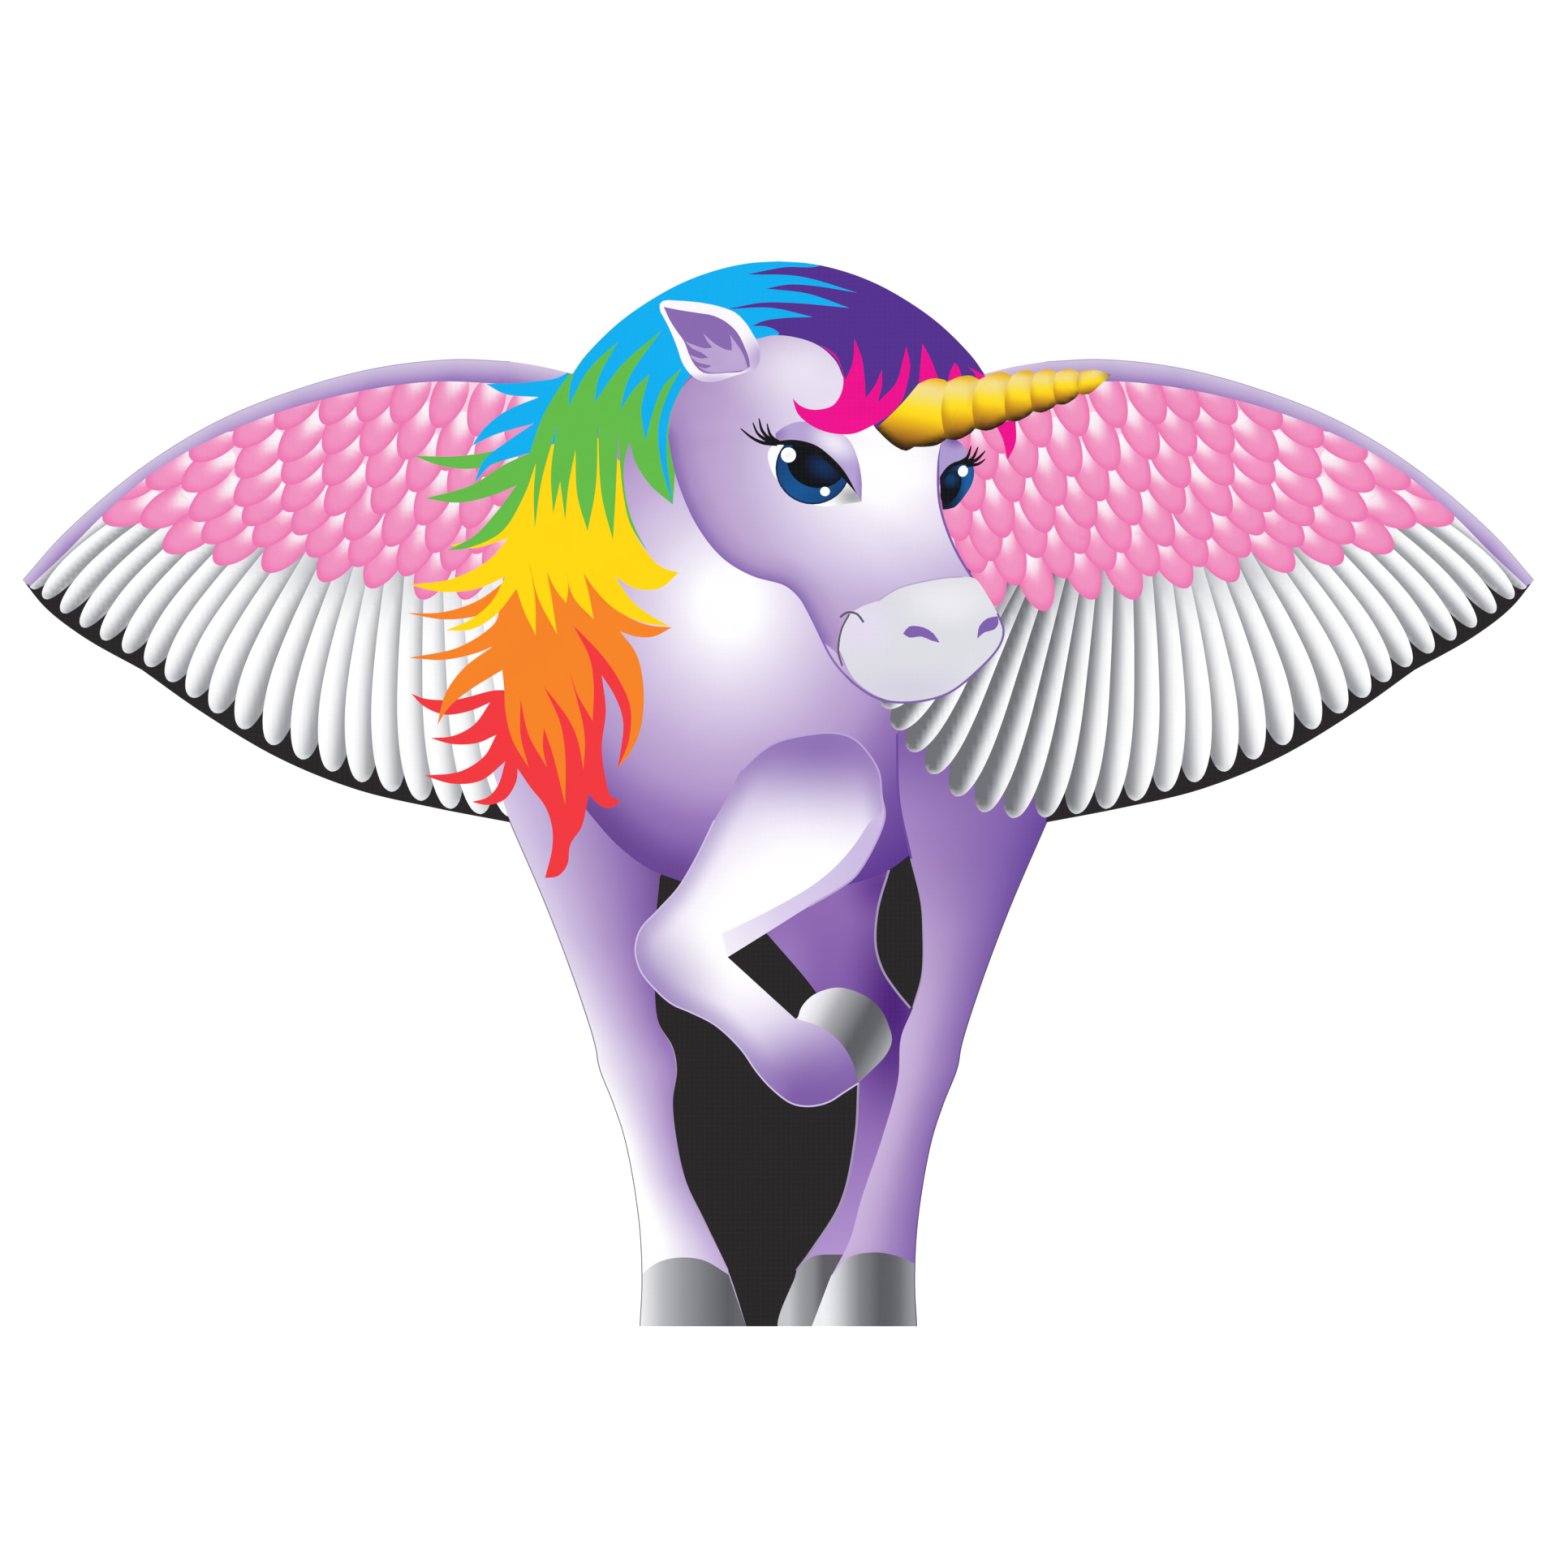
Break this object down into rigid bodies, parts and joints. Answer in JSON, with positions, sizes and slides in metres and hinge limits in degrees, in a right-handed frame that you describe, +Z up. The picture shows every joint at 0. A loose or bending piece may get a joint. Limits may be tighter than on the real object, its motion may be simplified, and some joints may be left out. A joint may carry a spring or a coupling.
{
  "type": "delta kite",
  "caption": "Single-line sport kite cut to the outline of a winged unicorn: printed cloth body and wings on thin rods, wings that fold forward and a two-piece spreader.",
  "frame": {"origin": "the tow point: the spot on the printed face midway between the upper pair of bridle holes, in front of the spine", "axes": "+Z up towards the crown of the head, +X towards the right wing tip as seen from the printed side, -Y out of the printed face, +Y out of the back, where the rods are"},
  "size_m": [1.49, 0.0213, 1.0502],
  "materials": {
    "body_print": "woven ripstop polyester, printed",
    "wing_print": "woven ripstop polyester, printed",
    "hem_tape": "folded and stitched tape",
    "sleeve_cloth": "plain unprinted cloth",
    "webbing": "woven webbing",
    "glass_fibre": "pultruded rod, satin",
    "moulding": "moulded, satin",
    "vinyl": "dipped vinyl",
    "bright_metal": "bright drawn"
  },
  "bodies": {
    "body": {"body_sail": "body_print", "centre_fitting": "moulding", "foot_left_cap": "vinyl", "foot_pocket": "webbing", "foot_right_cap": "vinyl", "foot_rod": "glass_fibre", "foot_sleeve": "sleeve_cloth", "head_hoop_rod": "glass_fibre", "head_hoop_sleeve": "sleeve_cloth", "hoop_left_cap": "vinyl", "hoop_right_cap": "vinyl", "left_leg_hem": "hem_tape", "left_pivot_pin": "bright_metal", "left_shoulder_hem": "hem_tape", "lower_bridle_patch": "webbing", "lower_stop": "vinyl", "nose_pocket": "webbing", "right_leg_hem": "hem_tape", "right_pivot_pin": "bright_metal", "right_shoulder_hem": "hem_tape", "spine_bottom_cap": "vinyl", "spine_ferrule": "bright_metal", "spine_lower_rod": "glass_fibre", "spine_sleeve_bottom": "sleeve_cloth", "spine_sleeve_middle": "sleeve_cloth", "spine_sleeve_top": "sleeve_cloth", "spine_top_cap": "vinyl", "spine_upper_rod": "glass_fibre", "upper_bridle_patch": "webbing", "upper_stop": "vinyl"},
    "left_wing": {"left_wing_sail": "wing_print", "left_tip_hem": "hem_tape", "left_trailing_hem": "hem_tape", "left_leading_rod": "glass_fibre", "left_inner_cap": "vinyl", "left_tip_cap": "vinyl", "left_leading_sleeve_inner": "sleeve_cloth", "left_leading_sleeve_outer": "sleeve_cloth", "left_leading_connector": "moulding", "left_connector_stop": "vinyl"},
    "right_wing": {"right_wing_sail": "wing_print", "right_tip_hem": "hem_tape", "right_trailing_hem": "hem_tape", "right_leading_rod": "glass_fibre", "right_inner_cap": "vinyl", "right_tip_cap": "vinyl", "right_leading_sleeve_inner": "sleeve_cloth", "right_leading_sleeve_outer": "sleeve_cloth", "right_leading_connector": "moulding", "right_connector_stop": "vinyl"},
    "left_spreader": {"left_spreader_socket": "moulding", "left_spreader_rod": "glass_fibre", "left_spreader_tip_cap": "vinyl"},
    "right_spreader": {"right_spreader_socket": "moulding", "right_spreader_rod": "glass_fibre", "right_spreader_tip_cap": "vinyl"}
  },
  "joints": [
    {"name": "left_wing_fold", "type": "hinge", "parent": "body", "child": "left_wing", "pos_m": [-0.265, -0.0015, 0], "axis": [0, 0, 1], "range_deg": [0, 180]},
    {"name": "right_wing_fold", "type": "hinge", "parent": "body", "child": "right_wing", "pos_m": [0.265, -0.0106, 0], "axis": [0, 0, -1], "range_deg": [0, 180]},
    {"name": "left_spreader_swing", "type": "hinge", "parent": "body", "child": "left_spreader", "pos_m": [-0.014, 0.0137, -0.024], "axis": [0, -1, 0], "range_deg": [0, 85]},
    {"name": "right_spreader_swing", "type": "hinge", "parent": "body", "child": "right_spreader", "pos_m": [0.014, 0.0137, -0.024], "axis": [0, 1, 0], "range_deg": [0, 85]}
  ]
}
